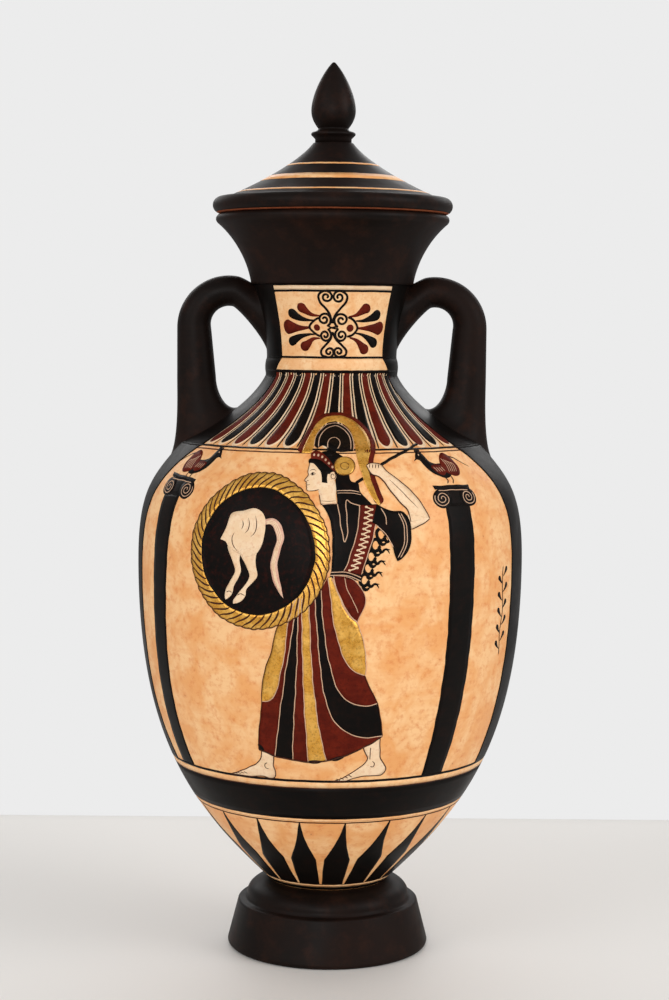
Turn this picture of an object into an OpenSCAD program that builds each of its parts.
// Lidded neck amphora: a thrown clay vase with two roll handles and a loose conical lid.
// The origin is the centre of the face the foot stands on, +Z is up, the handles are at
// -X and +X, and the painted front looks towards -Y. Every profile is (radius, height).

/* [Foot] */
// Radius of the foot where it stands
foot_r = 51.5; // [49:0.5:54]
// Height of the foot, up to the underside of the body
foot_h = 34.5; // [33.5:0.5:35.5]
// Radius where the foot carries the body
foot_top_r = 30.4; // [29.5:0.1:31.5]
// Inner radius of the standing ring
foot_ring_r = 40; // [38:0.5:42]

/* [Body] */
// Widest radius of the belly
belly_r = 98; // [95:0.5:101]
// Height of the widest place
belly_z = 200; // [195:1:205]
// Radius at the outer edge of the shoulder
shoulder_r = 76; // [75:0.5:77]
// Height at the outer edge of the shoulder
shoulder_z = 259.5; // [258:0.5:261]
// Thickness of the body's wall
body_wall = 5; // [4:0.5:6]

/* [Neck] */
// Narrowest outer radius, where the neck leaves the shoulder
neck_r = 33.4; // [33:0.1:34]
// Height where the neck leaves the shoulder
neck_z = 294; // [293:0.5:295]
// Outer radius at the top of the neck
neck_top_r = 40; // [39:0.5:40.5]
// Thickness of the neck's wall
neck_wall = 4.5; // [4:0.5:5]
// Height of the raised ring round the foot of the neck
ring_h = 8; // [6:0.5:9]
// How far the ring stands out of the neck
ring_out = 0.8; // [0.5:0.1:1.2]

/* [Mouth] */
// Outer radius where the mouth springs from the neck
mouth_base_r = 41; // [41:0.5:42]
// Height where the mouth springs from the neck
mouth_z = 339; // [338:0.5:340]
// Outer radius of the lip
lip_r = 58.9; // [58:0.1:59.5]
// Height of the top of the lip
lip_z = 374; // [373:0.5:374.5]
// Width of the lip
lip_w = 6; // [5.5:0.5:6.5]

/* [Handles] */
// Distance from the axis to the centre of a handle's arch
arch_x = 51; // [50.5:0.1:51.5]
// Height of the centre of the arch
arch_z = 317; // [316:0.5:318]
// Radius of the arch along the middle of the roll
arch_r = 17.7; // [17.3:0.1:18]
// Radius of the clay roll
roll_r = 8.7; // [8.3:0.1:8.9]

/* [Lid] */
// Outer radius of the lid's rim
lid_r = 60.5; // [60:0.1:61]
// Radius of the rim's round edge
rim_edge_r = 4.2; // [4:0.1:4.4]
// Radius of the small flat that carries the knob
lid_top_r = 10.5; // [10:0.1:11]
// Height of that flat
lid_top_z = 410; // [409:0.5:411]
// Clearance between the lid and the lip
seat_gap = 0.2; // [0.1:0.05:0.3]
// Outer radius of the ring that keeps the lid in the mouth
flange_r = 48.5; // [47:0.5:49]
// Width of that ring
flange_w = 4; // [3:0.5:5]
// Depth of that ring below the lid
flange_h = 7; // [5:0.5:8]

/* [Knob] */
// Widest radius of the bud
bud_r = 11.2; // [10.5:0.1:12]
// Height of the bud's tip
tip_z = 450; // [445:0.5:455]

/* [Hidden] */
$fn = 96;

black_slip = "#201b18";
brown_slip = "#3a241c";
clay_ground = "#e3ab74";
bare_clay = "#b9623a";

lid_z = lip_z + seat_gap;
neck_bore_r = neck_r - neck_wall;
mouth_bore_r = neck_top_r - neck_wall;

// Points along a cubic curve with the four control points p
function bez(p, steps = 10) = [
    for (i = [0:steps])
        let (t = i / steps, s = 1 - t)
        s * s * s * p[0] + 3 * s * s * t * p[1] + 3 * s * t * t * p[2] + t * t * t * p[3]
];

// Points along an arc, by its centre, radius and two angles
function arc(c, r, a0, a1, steps = 8) = [
    for (i = [0:steps])
        let (a = a0 + (a1 - a0) * i / steps)
        c + r * [cos(a), sin(a)]
];

// A list without its first point, and without its last
function tail(v) = [for (i = [1:len(v) - 1]) v[i]];
function head(v) = [for (i = [0:len(v) - 2]) v[i]];
function reverse(v) = [for (i = [len(v) - 1:-1:0]) v[i]];

// A rising curve moved towards the axis by t, square to itself
function inset(v, t) = [
    for (i = [0:len(v) - 1])
        let (d = v[min(i + 1, len(v) - 1)] - v[max(i - 1, 0)])
        v[i] + t * [-d.y, d.x] / norm(d)
];

// The outer profile of the vase, in three stretches that share their end points
belly_low = [[foot_top_r, foot_h], [68, 71], [belly_r, 104], [belly_r, belly_z]];
belly_high = [[belly_r, belly_z], [belly_r, 236], [90.5, 242], [shoulder_r, shoulder_z]];
shoulder = [[shoulder_r, shoulder_z], [65, 265.5], [41, 277.5], [neck_r, neck_z]];
body_out = concat(bez(belly_low, 16), tail(bez(belly_high)), tail(bez(shoulder)));
neck_out = bez([[neck_r, neck_z], [32, 309], [36, 325], [neck_top_r, mouth_z]]);
mouth_out = concat(
    bez([[mouth_base_r, mouth_z], [42.5, 350], [49, 362], [lip_r - 0.9, lip_z - 4.5]]),
    tail(arc([lip_r - 2.5, lip_z - 2.5], 2.5, -40, 90))
);

// The vase as if it were solid: what the handles and the ring are cut against
module vase_core() {
    rotate_extrude() polygon(concat(
        [[0, foot_h]], body_out, tail(neck_out), mouth_out, [[0, lip_z]]
    ));
}

module foot() {
    skirt_top = [46.3, 22.4];
    hollow_z = 27;
    out = concat(
        arc([foot_r - 2.2, 2.2], 2.2, -90, 8),
        [skirt_top],
        tail(arc(skirt_top - [1.4, 0], 1.4, 10, 90)),
        [[42.2, 23.8]],
        bez([[41.6, 26], [41.6, 30.5], [37.5, 33.2], [foot_top_r, foot_h]])
    );
    color(brown_slip) rotate_extrude() polygon(concat(
        [[foot_ring_r, 0]], out, [[0, foot_h], [0, hollow_z], [20, hollow_z], [36, 9]]
    ));
}

module body() {
    floor_z = foot_h + body_wall;
    inside = head(inset(body_out, body_wall));
    color(clay_ground) rotate_extrude() polygon(concat(
        [[0, foot_h]], body_out, [[neck_bore_r, neck_z]], reverse(inside), [[0, floor_z]]
    ));
}

module neck() {
    bore = [for (p = neck_out) p - [neck_wall, 0]];
    color(clay_ground) rotate_extrude() polygon(concat(neck_out, reverse(bore)));
}

module neck_ring() {
    bulge = ring_h / 2;
    color(clay_ground) difference() {
        rotate_extrude() polygon(concat(
            [[neck_bore_r, neck_z]],
            bez([[neck_r + ring_out / 4, neck_z], [neck_r + ring_out, neck_z + bulge / 2],
                 [neck_r + ring_out, neck_z + ring_h - bulge / 2], [neck_r - 0.2, neck_z + ring_h]]),
            [[neck_bore_r, neck_z + ring_h]]
        ));
        vase_core();
    }
}

module mouth() {
    bore_r = lip_r - lip_w;
    bore = concat(
        bez([[mouth_bore_r, mouth_z], [37, 350], [43.5, 362], [bore_r - 0.4, lip_z - 5]]),
        reverse(arc([bore_r + 1.5, lip_z - 1.5], 1.5, 90, 180))
    );
    color(black_slip) rotate_extrude() polygon(concat(mouth_out, reverse(bore)));
}

// The handle on the +X side: an arch, a leg, and a thickened root at each end
module handle() {
    leg_x = arch_x + arch_r;
    leg_low_z = 245;
    root = [12.5, 262];
    root_top = [6, 286];
    root_x = leg_x - 2.7;
    neck_root_z = 303.5;
    difference() {
        union() {
            translate([arch_x, 0, arch_z]) rotate([90, 0, 0])
                rotate_extrude(angle = 180) translate([arch_r, 0]) circle(r = roll_r);
            translate([leg_x, 0, leg_low_z]) cylinder(r = roll_r, h = arch_z - leg_low_z);
            translate([root_x, 0, leg_low_z]) cylinder(r = root[0], h = root[1] - leg_low_z);
            translate([root_x, 0, root[1]])
                cylinder(r1 = root[0], r2 = root_top[0], h = root_top[1] - root[1]);
            translate([arch_x - arch_r, 0, neck_root_z])
                cylinder(r1 = 0.3, r2 = roll_r, h = arch_z - neck_root_z);
        }
        vase_core();
    }
}

module handle_right() {
    color(black_slip) handle();
}

module handle_left() {
    color(black_slip) mirror([1, 0, 0]) handle();
}

module lid() {
    edge_c = [lid_r - rim_edge_r, lid_z + rim_edge_r];
    cone_low = [lid_r - 6, lid_z + 2 * rim_edge_r];
    seat_r = flange_r - flange_w;
    color(black_slip) rotate_extrude() polygon(concat(
        [[seat_r, lid_z]],
        arc(edge_c, rim_edge_r, -90, 78),
        bez([cone_low, [42, 387.5], [18, 400], [lid_top_r, lid_top_z]]),
        [[0, lid_top_z], [0, lid_top_z - 7.5]],
        bez([[7, lid_top_z - 8], [14, 396], [34, 383.5], [seat_r - 1, lid_z + 4]])
    ));
}

module lid_flange() {
    color(bare_clay) rotate_extrude() polygon([
        [flange_r - flange_w, lid_z - flange_h],
        [flange_r - 1, lid_z - flange_h],
        [flange_r, lid_z - flange_h + 1],
        [flange_r, lid_z],
        [flange_r - flange_w, lid_z]
    ]);
}

module lid_knob() {
    stem_r = 9.2;
    bead_r = 11.2;
    waist = [7.6, lid_top_z + 7];
    widest = [bud_r, lid_top_z + 16];
    color(black_slip) rotate_extrude() polygon(concat(
        [[0, lid_top_z], [stem_r, lid_top_z], [stem_r, lid_top_z + 1.8]],
        arc([bead_r - 1, lid_top_z + 4.2], 1, -50, 60),
        [waist],
        tail(bez([waist, waist + [2.4, 3], widest - [0, 3.3], widest])),
        tail(bez([widest, widest + [0, 7.3], [6, tip_z - 6], [1.4, tip_z - 0.8]])),
        [[0, tip_z]]
    ));
}

foot();
body();
neck();
neck_ring();
mouth();
handle_left();
handle_right();
lid();
lid_flange();
lid_knob();
